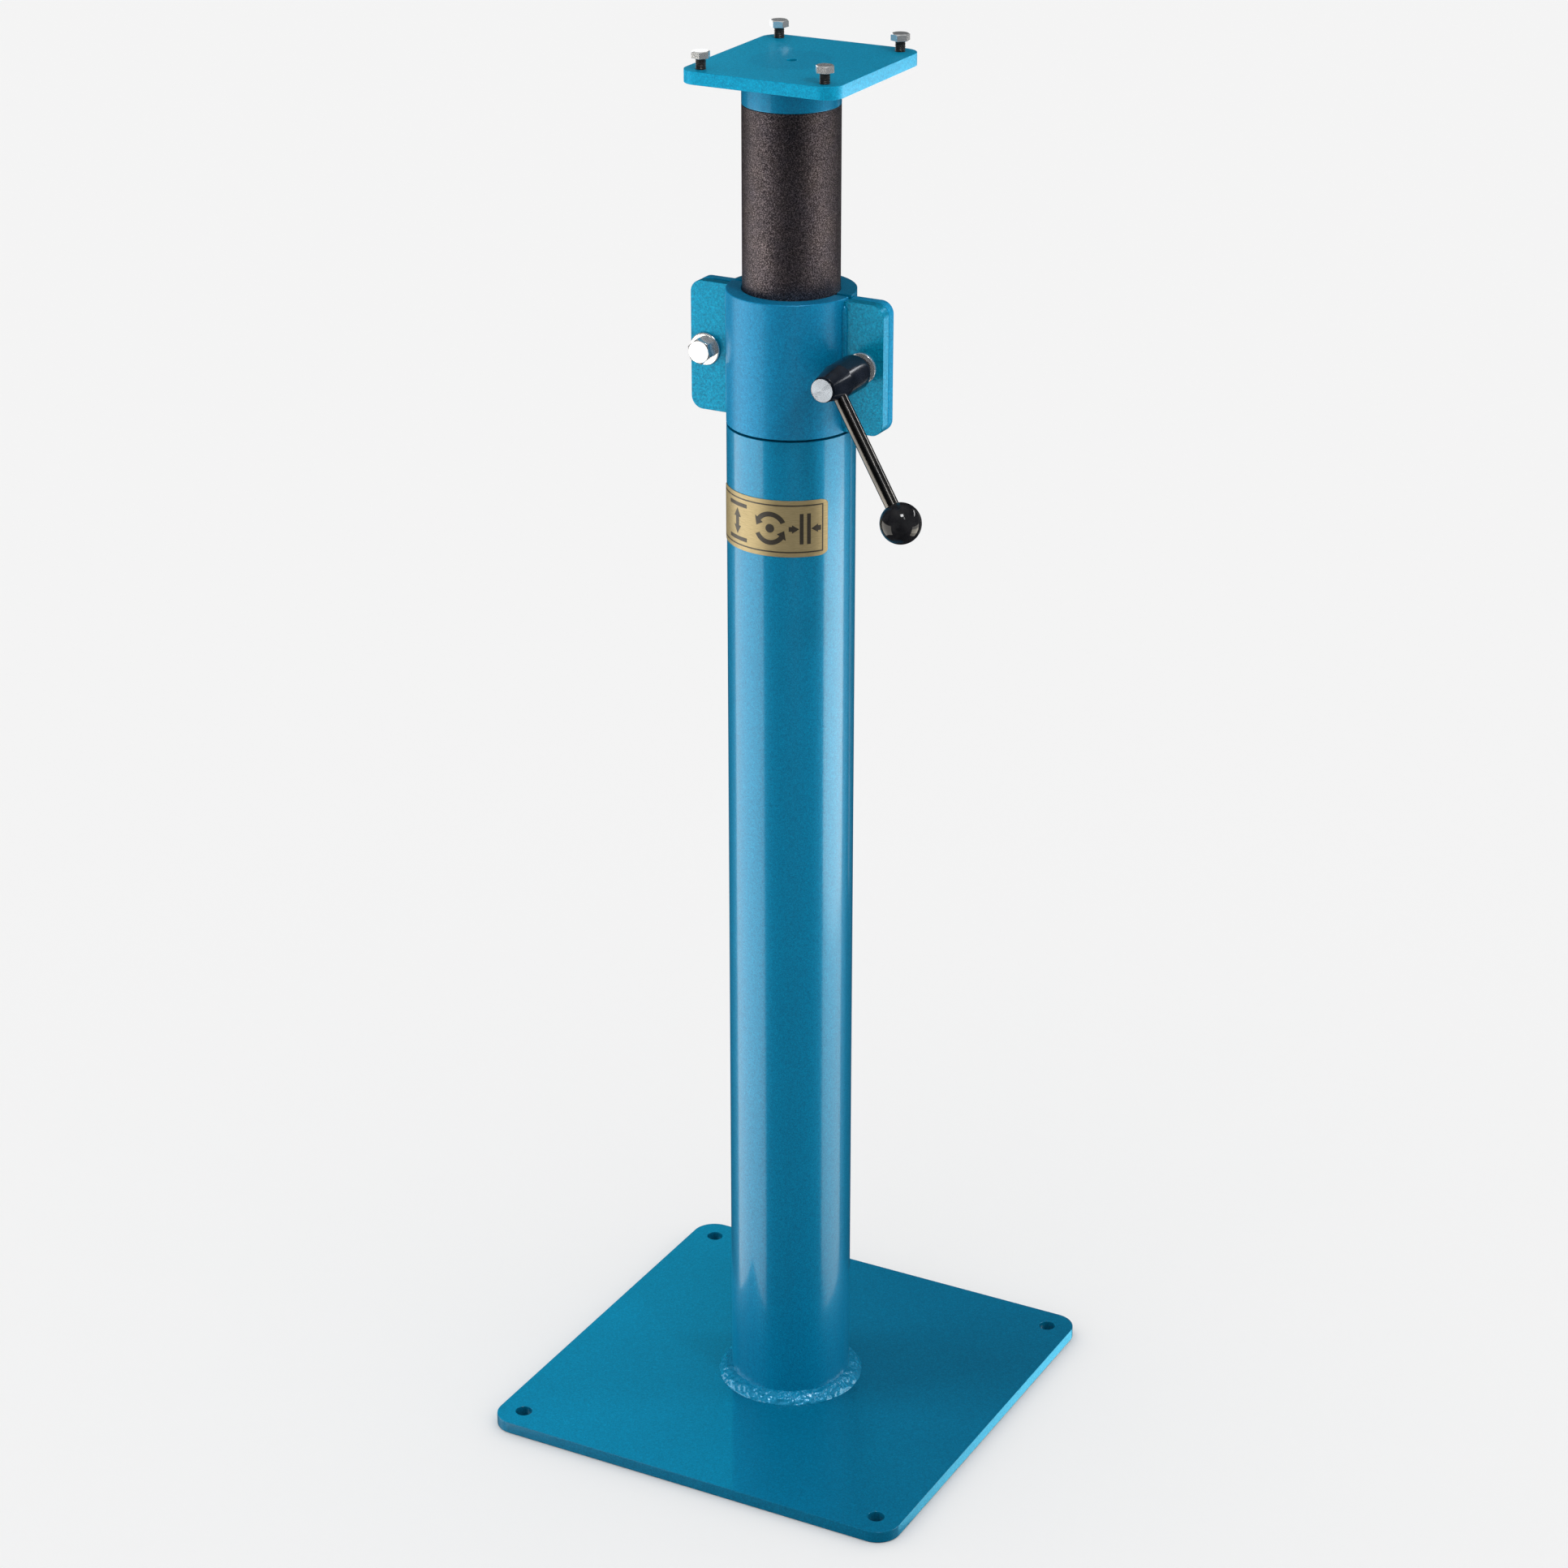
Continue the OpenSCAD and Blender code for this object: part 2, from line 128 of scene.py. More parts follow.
def blue_paint(name, mottle=0.35, coat=0.35, disc=False, painted_light_tone=(1.0, 1.0), rough=(0.40, 0.30),
               spec=0.35, metallic=0.30, coat_rough=0.12):
    """Cyan-blue structured enamel with a faint metallic haze: fine grain, orange peel, slow
    changes of tone, and on rolled plate a coarser mottle. Its green and blue are scaled per piece
    by a pair of factors, which is painted light: lighter or darker copies of one paint stand in
    for how much light falls on each piece. rough is its roughness in the grain's hollows and on
    its peaks, and disc adds a darker round over the column."""
    mat, tree, shader = new_material(name)
    coords = tree.nodes.new("ShaderNodeTexCoord").outputs["Object"]
    grain = noise_node(tree, 1150, 2.0, 0.6, coords)
    mottled = noise_node(tree, 430, 3.0, 0.6, coords)
    peel = noise_node(tree, 260, 2.0, 0.55, coords)
    cloud = noise_node(tree, 11, 3.0, 0.5, coords)
    # Scaling green and blue by the piece's pair of factors is painted light, standing in for how
    # much light falls on the piece.
    green, blue = painted_light_tone
    base = ramp(tree, grain, [(0.30, (0.0, 0.130 * green, 0.255 * blue)),
                              (0.52, (0.0, 0.176 * green, 0.330 * blue)),
                              (0.74, (0.0, 0.240 * green, 0.420 * blue))])
    spots = ramp(tree, mottled, [(0.30, (1 - mottle * 0.55,) * 3), (0.68, (1.0, 1.0, 1.0))])
    slow = ramp(tree, cloud, [(0.3, (0.92, 0.94, 0.95)), (0.7, (1.0, 1.0, 1.0))])
    colour = multiply(tree, multiply(tree, base, spots), slow)
    if disc:
        apart = tree.nodes.new("ShaderNodeSeparateXYZ")
        flat = tree.nodes.new("ShaderNodeCombineXYZ")
        reach = tree.nodes.new("ShaderNodeVectorMath")
        reach.operation = "LENGTH"
        tree.links.new(coords, apart.inputs["Vector"])
        tree.links.new(apart.outputs["X"], flat.inputs["X"])
        tree.links.new(apart.outputs["Y"], flat.inputs["Y"])
        tree.links.new(flat.outputs["Vector"], reach.inputs[0])
        ring = spread(tree, reach.outputs["Value"], *DISC_EDGE, 0.0, 1.0)
        shadow = ramp(tree, ring, [(0.0, (0.86, 0.90, 0.92)), (1.0, (1.0, 1.0, 1.0))])
        colour = multiply(tree, colour, shadow)
    tree.links.new(colour, shader.inputs["Base Color"])
    tree.links.new(spread(tree, grain, 0.3, 0.7, rough[0], rough[1]), shader.inputs["Roughness"])
    shader.inputs["Metallic"].default_value = metallic
    shader.inputs["Specular IOR Level"].default_value = spec
    shader.inputs["Coat Weight"].default_value = coat
    shader.inputs["Coat Roughness"].default_value = coat_rough
    bump(tree, shader, (peel, 0.0006, 0.10 + mottle * 0.10), (mottled, 0.0003, mottle * 0.5),
         (grain, 0.00014, 0.45))
    return mat


def dark_coat():
    """Brown-black phosphated tube with a fine glittering grain."""
    mat, tree, shader = new_material("dark_speckled_coat")
    grain = noise_node(tree, 1150, 3.0, 0.7)
    patch = noise_node(tree, 60, 3.0)
    base = ramp(tree, grain, [(0.34, (0.015, 0.013, 0.016)), (0.50, (0.060, 0.052, 0.059)),
                              (0.64, (0.28, 0.24, 0.255))])
    tint = ramp(tree, patch, [(0.35, (0.86, 0.86, 0.92)), (0.65, (1.0, 0.97, 0.95))])
    tree.links.new(multiply(tree, base, tint), shader.inputs["Base Color"])
    tree.links.new(spread(tree, grain, 0.3, 0.7, 0.50, 0.36), shader.inputs["Roughness"])
    shader.inputs["Metallic"].default_value = 0.90
    bump(tree, shader, (grain, 0.0004, 0.7))
    return mat


def metal(name, low, high, rough, grain_scale=700, strength=0.15, metallic=1.0):
    """Metal whose tone and polish vary over a fine grain."""
    mat, tree, shader = new_material(name)
    grain = noise_node(tree, grain_scale, 3.0, 0.6)
    stain = noise_node(tree, 70, 3.0)
    base = ramp(tree, stain, [(0.35, low), (0.65, high)])
    tree.links.new(base, shader.inputs["Base Color"])
    tree.links.new(spread(tree, grain, 0.3, 0.7, rough[0], rough[1]), shader.inputs["Roughness"])
    shader.inputs["Metallic"].default_value = metallic
    bump(tree, shader, (grain, 0.00008, strength))
    return mat


def turned_face():
    """Bright lathe-turned steel: rings round the face's own centre and a circular polish."""
    mat, tree, shader = new_material("turned_steel_face")
    coords = tree.nodes.new("ShaderNodeTexCoord")
    wave = tree.nodes.new("ShaderNodeTexWave")
    wave.wave_type = "RINGS"
    wave.rings_direction = "Y"
    wave.inputs["Scale"].default_value = 1500
    wave.inputs["Distortion"].default_value = 0.6
    tree.links.new(coords.outputs["Object"], wave.inputs["Vector"])
    base = ramp(tree, wave.outputs["Fac"], [(0.2, (0.22, 0.25, 0.30)), (0.8, (0.45, 0.50, 0.57))])
    tree.links.new(base, shader.inputs["Base Color"])
    shader.inputs["Metallic"].default_value = 1.0
    shader.inputs["Roughness"].default_value = 0.26
    shader.inputs["Anisotropic"].default_value = 0.95
    tangent = tree.nodes.new("ShaderNodeTangent")
    tangent.direction_type = "RADIAL"
    tangent.axis = "Y"
    tree.links.new(tangent.outputs["Tangent"], shader.inputs["Tangent"])
    bump(tree, shader, (wave.outputs["Fac"], 0.00002, 0.10))
    return mat


def ball_black():
    """Polished black thermoset with the faintest flow marks."""
    mat, tree, shader = new_material("black_ball_resin")
    flow = noise_node(tree, 120, 3.0, 0.6)
    dust = noise_node(tree, 2500, 1.0)
    tree.links.new(ramp(tree, flow, [(0.3, (0.004, 0.004, 0.005)), (0.7, (0.012, 0.012, 0.013))]),
                   shader.inputs["Base Color"])
    tree.links.new(spread(tree, dust, 0.35, 0.75, 0.06, 0.13), shader.inputs["Roughness"])
    shader.inputs["Specular IOR Level"].default_value = 0.30
    bump(tree, shader, (flow, 0.0002, 0.06))
    return mat


def gold_plate():
    """Anodised gold sheet with a fine brushed grain along its length."""
    mat, tree, shader = new_material("gold_anodised_sheet")
    coords = tree.nodes.new("ShaderNodeTexCoord")
    stretch = tree.nodes.new("ShaderNodeMapping")
    stretch.inputs["Scale"].default_value = (0.05, 0.05, 1.0)
    tree.links.new(coords.outputs["Object"], stretch.inputs["Vector"])
    grain = noise_node(tree, 3500, 2.0, 0.6, stretch.outputs["Vector"])
    speck = noise_node(tree, 900, 2.0, 0.6)
    base = ramp(tree, grain, [(0.3, (0.25, 0.195, 0.096)), (0.7, (0.355, 0.286, 0.148))])
    tree.links.new(base, shader.inputs["Base Color"])
    tree.links.new(spread(tree, speck, 0.3, 0.7, 0.48, 0.38), shader.inputs["Roughness"])
    shader.inputs["Metallic"].default_value = 0.55
    bump(tree, shader, (grain, 0.00004, 0.2))
    return mat


def print_ink():
    """Dark brown screen print."""
    mat, tree, shader = new_material("dark_print_ink")
    grain = noise_node(tree, 1800, 2.0, 0.6)
    tree.links.new(ramp(tree, grain, [(0.3, (0.012, 0.009, 0.006)), (0.7, (0.030, 0.024, 0.016))]),
                   shader.inputs["Base Color"])
    tree.links.new(spread(tree, grain, 0.3, 0.7, 0.5, 0.35), shader.inputs["Roughness"])
    bump(tree, shader, (grain, 0.00003, 0.2))
    return mat


def resin():
    """Pale guide bush plastic."""
    mat, tree, shader = new_material("guide_resin")
    grain = noise_node(tree, 400, 3.0)
    tree.links.new(ramp(tree, grain, [(0.3, (0.62, 0.58, 0.48)), (0.7, (0.74, 0.70, 0.60))]),
                   shader.inputs["Base Color"])
    tree.links.new(spread(tree, grain, 0.3, 0.7, 0.6, 0.45), shader.inputs["Roughness"])
    bump(tree, shader, (grain, 0.0001, 0.2))
    return mat


# Copies of one paint whose tone factors are painted light: the base plate is painted darker, and
# the jaw, ears, rear ears and top plate lighter, to stand in for how light falls on each piece.
BLUE = blue_paint("blue_structured_paint", 0.35, 0.50, spec=0.20)
BLUE_BASE = blue_paint("blue_paint_base_plate", 0.30, 0.30, painted_light_tone=(0.68, 0.68), spec=0.15,
                       coat_rough=0.08)
BLUE_JAW = blue_paint("blue_paint_on_jaw", 0.45, 0.18, painted_light_tone=(1.05, 1.10), rough=(0.50, 0.40),
                      spec=0.20, coat_rough=0.24)
BLUE_PLATE = blue_paint("blue_paint_on_ears", 0.70, 0.06, painted_light_tone=(1.30, 1.18), spec=0.15,
                        metallic=0.38)
BLUE_REAR = blue_paint("blue_paint_on_rear_ears", 0.50, 0.0, painted_light_tone=(1.10, 1.10), rough=(0.60, 0.50),
                       spec=0.10, metallic=0.15)
BLUE_TOP = blue_paint("blue_paint_top_plate", 0.45, 0.03, disc=True, painted_light_tone=(1.55, 1.40),
                      rough=(0.50, 0.42), spec=0.15)
DARK = dark_coat()
ZINC = metal("bright_zinc", (0.86, 0.87, 0.87), (0.93, 0.94, 0.94), (0.22, 0.14), 700, 0.03,
             metallic=0.85)
ROD = metal("rod_steel", (0.070, 0.070, 0.070), (0.115, 0.110, 0.104), (0.20, 0.15), 700, 0.03)
STEEL = metal("plain_steel", (0.34, 0.34, 0.34), (0.46, 0.46, 0.46), (0.42, 0.30))
OXIDE = metal("black_oxide_steel", (0.004, 0.006, 0.010), (0.010, 0.013, 0.020),
              (0.20, 0.16), 700, 0.004, metallic=0.25)
THREAD = metal("dark_thread_steel", (0.040, 0.038, 0.036), (0.085, 0.080, 0.075), (0.45, 0.32),
               metallic=0.8)
BLACK = metal("black_paint", (0.010, 0.010, 0.010), (0.02, 0.02, 0.02), (0.4, 0.3), metallic=0.0)
FACE = turned_face()
BALL = ball_black()
GOLD = gold_plate()
INK = print_ink()
RESIN = resin()

SLOT_MATERIAL = {"blue_paint": BLUE, "dark_coat": DARK, "zinc": ZINC, "steel": STEEL,
                 "black_steel": OXIDE, "ball": BALL, "gold": GOLD, "resin": RESIN,
                 "black_paint": BLACK}
NODE_SLOT = {row["node"]: row["material_slot"] for row in frame["record"]["subparts"]}
NODE_BODY = {node: body for body, nodes in frame["record"]["behaviour"]["bodies"].items()
             for node in nodes}
for name, obj in frame["nodes"].items():
    obj.data.materials.clear()
    obj.data.materials.append(SLOT_MATERIAL[NODE_SLOT[name]])

# ---------------------------------------------------------------- mesh helpers


def add_piece(name, mesh, node, material, extra=(), origin=None):
    """Puts a mesh in the scene as the piece that stands for a CAD node."""
    obj = bpy.data.objects.new(name, mesh)
    scene.collection.objects.link(obj)
    if origin is not None:
        mesh.transform(Matrix.Translation(-origin))
        obj.location = origin
    mesh.materials.append(material)
    for item in extra:
        mesh.materials.append(item)
    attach(obj, NODE_BODY[node])
    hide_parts(node)
    return obj


def shade(bm, angle=32.0):
    """Smooth faces with sharp edges above the angle."""
    limit = math.radians(angle)
    for face in bm.faces:
        face.smooth = True
    for edge in bm.edges:
        edge.smooth = len(edge.link_faces) == 2 and edge.calc_face_angle(0.0) < limit


def finish_mesh(bm, name, angle=32.0):
    shade(bm, angle)
    mesh = bpy.data.meshes.new(name)
    bm.to_mesh(mesh)
    bm.free()
    return mesh


def eased(node, name, width, segments=3, material=None):
    """The CAD node's shape with its hard edges rounded, as a new piece."""
    bm = bmesh.new()
    bm.from_mesh(frame["nodes"][node].data)
    bmesh.ops.remove_doubles(bm, verts=bm.verts, dist=2e-5)
    bmesh.ops.dissolve_limit(bm, angle_limit=math.radians(0.4), verts=bm.verts, edges=bm.edges)
    sharp = [e for e in bm.edges if len(e.link_faces) == 2
             and e.calc_face_angle(0.0) > math.radians(35)]
    bmesh.ops.bevel(bm, geom=sharp, offset=width, offset_type="OFFSET", segments=segments,
                    profile=0.5, affect="EDGES", clamp_overlap=True)
    bmesh.ops.recalc_face_normals(bm, faces=bm.faces)
    mesh = finish_mesh(bm, name, 50.0)
    obj = add_piece(name, mesh, node, material or SLOT_MATERIAL[NODE_SLOT[node]])
    weighted = obj.modifiers.new("even_normals", "WEIGHTED_NORMAL")
    weighted.keep_sharp = True
    weighted.weight = 80
    return obj


def lathe(bm, profile, segments=96, matrix=Matrix.Identity(4), wobble=None,
          closed=False):
    """Revolves (radius, height) points round +Z. wobble(angle, index) moves a point outwards
    and upwards. Profile ends on the axis are closed to a point."""
    rings = []
    for i, (r, z) in enumerate(profile):
        if r < 1e-9:
            rings.append([bm.verts.new(matrix @ Vector((0, 0, z)))])
            continue
        ring = []
        for k in range(segments):
            a = 2 * math.pi * k / segments
            dr, dz = wobble(a, i) if wobble else (0.0, 0.0)
            ring.append(bm.verts.new(matrix @ Vector(((r + dr) * math.cos(a),
                                                      (r + dr) * math.sin(a), z + dz))))
        rings.append(ring)
    faces = []
    pairs = list(zip(rings, rings[1:])) + ([(rings[-1], rings[0])] if closed else [])
    for low, high in pairs:
        for k in range(segments):
            n = (k + 1) % segments
            if len(low) == 1 and len(high) == 1:
                continue
            if len(low) == 1:
                faces.append(bm.faces.new((low[0], high[n], high[k])))
            elif len(high) == 1:
                faces.append(bm.faces.new((low[k], low[n], high[0])))
            else:
                faces.append(bm.faces.new((low[k], low[n], high[n], high[k])))
    return faces


def round_profile(points, radius):
    """Rounds the inner corners of a (r, z) polyline."""
    steps = 4
    out = [points[0]]
    for before, at, after in zip(points, points[1:], points[2:]):
        p, a, b = Vector(at), Vector(before), Vector(after)
        u, v = (a - p), (b - p)
        reach = min(radius, u.length * 0.45, v.length * 0.45)
        start, end = p + u.normalized() * reach, p + v.normalized() * reach
        for s in range(steps + 1):
            t = s / steps
            q = start * (1 - t) ** 2 + p * (2 * t * (1 - t)) + end * t * t
            out.append((q.x, q.y))
    out.append(points[-1])
    return out


def hex_solid(bm, across, height, matrix, both=False, bore=0.0):
    """Hexagon head or nut standing on z = 0, with its corners turned off at the top, or at
    both ends."""
    steps = 120
    crown = across * 0.475
    slope = math.tan(math.radians(30))
    chamfer = across * 0.012

    def reach(angle):
        fold = (angle + math.pi / 6) % (math.pi / 3) - math.pi / 6
        return across / 2 / math.cos(fold)

    def ring(shape):
        return [bm.verts.new(matrix @ Vector((r * math.cos(a), r * math.sin(a), z)))
                for a in (2 * math.pi * k / steps for k in range(steps))
                for r, z in (shape(a),)]

    def top(angle):
        return height - max(0.0, reach(angle) - crown) * slope

    def foot(angle):
        return max(0.0, reach(angle) - crown) * slope if both else 0.0

    rings = []
    rings.append(ring(lambda a: (bore if bore else 1e-5, 0.0)))
    rings.append(ring(lambda a: (crown if both else reach(a) - chamfer, 0.0)))
    rings.append(ring(lambda a: (reach(a), foot(a) + chamfer)))
    rings.append(ring(lambda a: (reach(a), top(a) - chamfer)))
    rings.append(ring(lambda a: (reach(a) - chamfer, top(a))))
    rings.append(ring(lambda a: (crown, height)))
    rings.append(ring(lambda a: (bore if bore else 1e-5, height)))
    for low, high in zip(rings, rings[1:]):
        for k in range(steps):
            n = (k + 1) % steps
            bm.faces.new((low[k], low[n], high[n], high[k]))
    if bore:
        for k in range(steps):
            n = (k + 1) % steps
            bm.faces.new((rings[-1][k], rings[-1][n], rings[0][n], rings[0][k]))


def thread_solid(bm, radius, z0, z1, pitch, matrix):
    """Threaded shank from z0 to z1: a helical V groove, closed by a chamfered end."""
    segments = 48
    per_turn = 6
    depth = pitch * 0.52
    count = max(2, round((z1 - z0) / pitch * per_turn))
    rings = []
    for i in range(count + 1):
        z = z0 + (z1 - z0) * i / count
        fade = min(1.0, (z1 - z) / pitch)
        ring = []
        for k in range(segments):
            a = 2 * math.pi * k / segments
            phase = ((z - z0) / pitch - k / segments) % 1.0
            cut = depth * max(0.0, 1 - abs(phase - 0.5) / 0.42)
            r = radius - cut - (1 - fade) * pitch * 0.4
            ring.append(bm.verts.new(matrix @ Vector((r * math.cos(a), r * math.sin(a), z))))
        rings.append(ring)
    for low, high in zip(rings, rings[1:]):
        for k in range(segments):
            n = (k + 1) % segments
            bm.faces.new((low[k], low[n], high[n], high[k]))
    bm.faces.new(list(reversed(rings[0])))
    bm.faces.new(rings[-1])


# ------------------------------------------------- painted steel: eased shapes

# Node, width of its rounded edges in millimetres, paint.
PAINTED = (("base_plate", 1.3, BLUE_BASE), ("outer_column", 0.8, BLUE),
           ("clamp_jaw", 1.0, BLUE_JAW),
           ("rear_ear_left", 1.2, BLUE_REAR), ("rear_ear_right", 1.2, BLUE_REAR),
           ("jaw_ear_left", 1.6, BLUE_PLATE), ("jaw_ear_right", 2.2, BLUE_PLATE),
           ("top_plate", 1.2, BLUE_TOP), ("column_neck", 0.6, BLUE))
for node, width, paint in PAINTED:
    eased(node, node + "_painted", width * MM, material=paint)
eased("inner_column", "inner_column_coated", 0.5 * MM)

# ------------------------------------------------------------------ weld beads

TUBE_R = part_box("outer_column")[1].x


def lumps(point, size, seed):
    """Smooth noise of about unit height with lumps of the given size."""
    return noise.noise(point / size + Vector((seed, seed * 0.37, -seed)))


def bead_ring(name, node, r_in, z_foot, z_top, r_toe, up=1, seed=3.0, amount=0.7 * MM):
    """Weld bead round a tube, from its toe on the plate to its top on the tube. It sinks a
    little into both, and amount is the height of its lumps."""
    bm = bmesh.new()
    width, height = r_toe - r_in, abs(z_top - z_foot)
    r_root, z_root = r_in - 1.2 * MM, z_foot - up * 0.8 * MM
    profile = [(r_root, z_root), (r_toe - 0.3 * MM, z_root)]
    steps = 16
    for i in range(steps + 1):
        t = i / steps
        bulge = 0.20 * math.sin(math.pi * t)
        profile.append((r_in + width * (1 - t) ** 1.15 + width * bulge * 0.5,
                        z_foot + up * height * (t ** 0.9) + up * height * bulge * 0.5))
    profile.append((r_root, z_top + up * 0.2 * MM))

    def wobble(angle, i):
        if i < 2:
            return (0.0, 0.0)
        r, z = profile[i]
        p = Vector((r * math.cos(angle), r * math.sin(angle), z))
        big = lumps(p, 11 * MM, seed)
        mid = lumps(p, 3.6 * MM, seed + 7)
        fine = lumps(p, 1.3 * MM, seed + 13)
        ease = math.sin(math.pi * min(1.0, (i - 1) / (len(profile) - 2)))
        push = amount * (0.9 * big + 0.75 * mid * (0.4 + ease) + 0.35 * fine)
        return (push if i < len(profile) - 1 else 0.0, up * push * 0.8)

    lathe(bm, profile, 440, wobble=wobble, closed=True)
    if up < 0:
        bmesh.ops.reverse_faces(bm, faces=bm.faces)
    add_piece(name, finish_mesh(bm, name, 80.0), node, BLUE)


foot_low, foot_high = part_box("foot_weld")
bead_ring("foot_weld_bead", "foot_weld", TUBE_R, foot_low.z, foot_high.z,
          foot_high.x, amount=1.0 * MM)
neck_low, neck_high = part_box("neck_weld")
bead_ring("neck_weld_bead", "neck_weld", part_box("column_neck")[1].x, neck_high.z, neck_low.z,
          neck_high.x, up=-1, seed=9.0, amount=0.25 * MM)


def ear_beads(name, node, front):
    """The two upright beads between a pair of ears and the tube."""
    low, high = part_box(node)
    bm = bmesh.new()
    face_y = high.y if front else low.y
    out = -1 if front else 1
    z0, z1 = low.z, high.z
    reach = math.sqrt(TUBE_R ** 2 - face_y ** 2)
    rows, ring_steps = 130, 14
    for side_sign in (-1, 1):
        rings = []
        for j in range(rows + 1):
            z = z0 + (z1 - z0) * j / rows
            cap = min(1.0, math.sqrt(max(0.0, min(j, rows - j) / rows * 26)))
            ring = []
            for k in range(ring_steps + 1):
                t = k / ring_steps
                a = math.pi * (t * 1.16 - 0.36)
                probe = Vector((side_sign * math.cos(a) * 3 * MM, math.sin(a) * 3 * MM, z))
                scaly = 0.16 * math.sin(2 * math.pi * (z / (2.9 * MM) + 0.35 * math.cos(2 * a)))
                r = (2.6 + 0.18 * lumps(probe, 7 * MM, 5.0 + side_sign)
                     + 0.08 * lumps(probe, 1.6 * MM, 2.0) + scaly * 0.3) * MM * max(cap, 0.05)
                centre = Vector((side_sign * (reach + 0.5 * MM), face_y, z))
                ring.append(bm.verts.new(centre + Vector((side_sign * r * math.cos(a),
                                                          out * r * math.sin(a), 0))))
            rings.append(ring)
        size = ring_steps + 1
        for low_ring, high_ring in zip(rings, rings[1:]):
            for k in range(size):
                n = (k + 1) % size
                bm.faces.new((low_ring[k], low_ring[n], high_ring[n], high_ring[k]))
        bm.faces.new(rings[0])
        bm.faces.new(rings[-1])
    bmesh.ops.recalc_face_normals(bm, faces=bm.faces)
    add_piece(name, finish_mesh(bm, name, 70.0), node, BLUE)


ear_beads("jaw_ear_weld_beads", "jaw_ear_welds", True)
ear_beads("rear_ear_weld_beads", "rear_ear_welds", False)

# ---------------------------------------------------------- clamp bolt and stud

TOWARDS_FRONT = Matrix.Rotation(math.radians(90), 4, "X")
TOWARDS_BACK = Matrix.Rotation(math.radians(-90), 4, "X")
M12_ACROSS = 18 * MM
M12_R = 6 * MM
M12_PITCH = 1.75 * MM
SHANK_R = 5.95 * MM
WASHER_BORE_R = 6.3 * MM


def middle(node):
    """The centre of a CAD node's box."""
    low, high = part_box(node)
    return (low + high) / 2


def add_solid(name, bm, node, material, origin, extra=()):
    """Closes off a mesh in progress and adds it as a piece with its origin on its axis."""
    bmesh.ops.recalc_face_normals(bm, faces=bm.faces)
    add_piece(name, finish_mesh(bm, name), node, material, extra=extra, origin=origin)


bolt_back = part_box("hinge_bolt")[1].y
bolt_axis = middle("hinge_washer")
under_head = -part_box("jaw_ear_left")[0].y + 0.15 * MM
head_seat = Matrix.Translation((bolt_axis.x, -under_head, bolt_axis.z))
place = head_seat @ TOWARDS_FRONT
bm = bmesh.new()
flange = round_profile([(0, 0), (0.0124, 0), (0.0130, 0.0005), (0.0130, 0.0014),
                        (0.0125, 0.0018), (0.0098, 0.0020), (0, 0.0021)], 0.3 * MM)
lathe(bm, flange, 96, place)
hex_solid(bm, M12_ACROSS, 9.6 * MM, place @ Matrix.Translation((0, 0, 0.0019))
          @ Matrix.Rotation(math.radians(12), 4, "Z"))
shaft_end = bolt_back + under_head
plain_end = 24 * MM
back_place = head_seat @ TOWARDS_BACK
lathe(bm, [(0, 0), (SHANK_R, 0), (SHANK_R, plain_end), (0, plain_end)], 48, back_place)
thread_solid(bm, M12_R, plain_end - 0.5 * MM, shaft_end, M12_PITCH, back_place)
add_solid("hinge_bolt_flanged", bm, "hinge_bolt", ZINC, bolt_axis)


def washer_piece(node, name, direction):
    """A washer with rounded edges, built towards the given direction."""
    low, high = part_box(node)
    axis = (low + high) / 2
    thick, r = high.y - low.y, (high.x - low.x) / 2
    start = Vector((axis.x, low.y if direction is TOWARDS_BACK else high.y, axis.z))
    bm = bmesh.new()
    profile = round_profile([(WASHER_BORE_R, 0), (r, 0), (r, thick), (WASHER_BORE_R, thick)],
                            0.45 * MM)
    lathe(bm, profile, 96, Matrix.Translation(start) @ direction, closed=True)
    add_solid(name, bm, node, ZINC, axis)


def nut_piece(node, name):
    """An M12 nut with both ends turned off."""
    low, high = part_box(node)
    axis = (low + high) / 2
    bm = bmesh.new()
    hex_solid(bm, M12_ACROSS, high.y - low.y,
              Matrix.Translation((axis.x, low.y, axis.z)) @ TOWARDS_BACK, both=True,
              bore=5.9 * MM)
    add_solid(name, bm, node, ZINC, axis)


washer_piece("hinge_washer", "hinge_washer_eased", TOWARDS_BACK)
washer_piece("stud_washer", "stud_washer_eased", TOWARDS_BACK)
washer_piece("thrust_washer", "thrust_washer_eased", TOWARDS_FRONT)
nut_piece("hinge_nut", "hinge_nut_eased")
nut_piece("stud_nut", "stud_nut_eased")

stud_low, stud_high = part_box("clamp_stud")
stud_axis = middle("stud_washer")
bm = bmesh.new()
stud_place = Matrix.Translation((stud_axis.x, stud_low.y, stud_axis.z)) @ TOWARDS_BACK
stud_len = stud_high.y - stud_low.y
plain_end = stud_len - 17 * MM
lathe(bm, [(0, 0), (0.0055, 0), (SHANK_R, 0.0005), (SHANK_R, plain_end), (0, plain_end)],
      48, stud_place)
thread_solid(bm, M12_R, plain_end - 0.5 * MM, stud_len, M12_PITCH, stud_place)
add_solid("clamp_stud_threaded", bm, "clamp_stud", STEEL, stud_axis)

# ------------------------------------------------------------ hand lever, ball

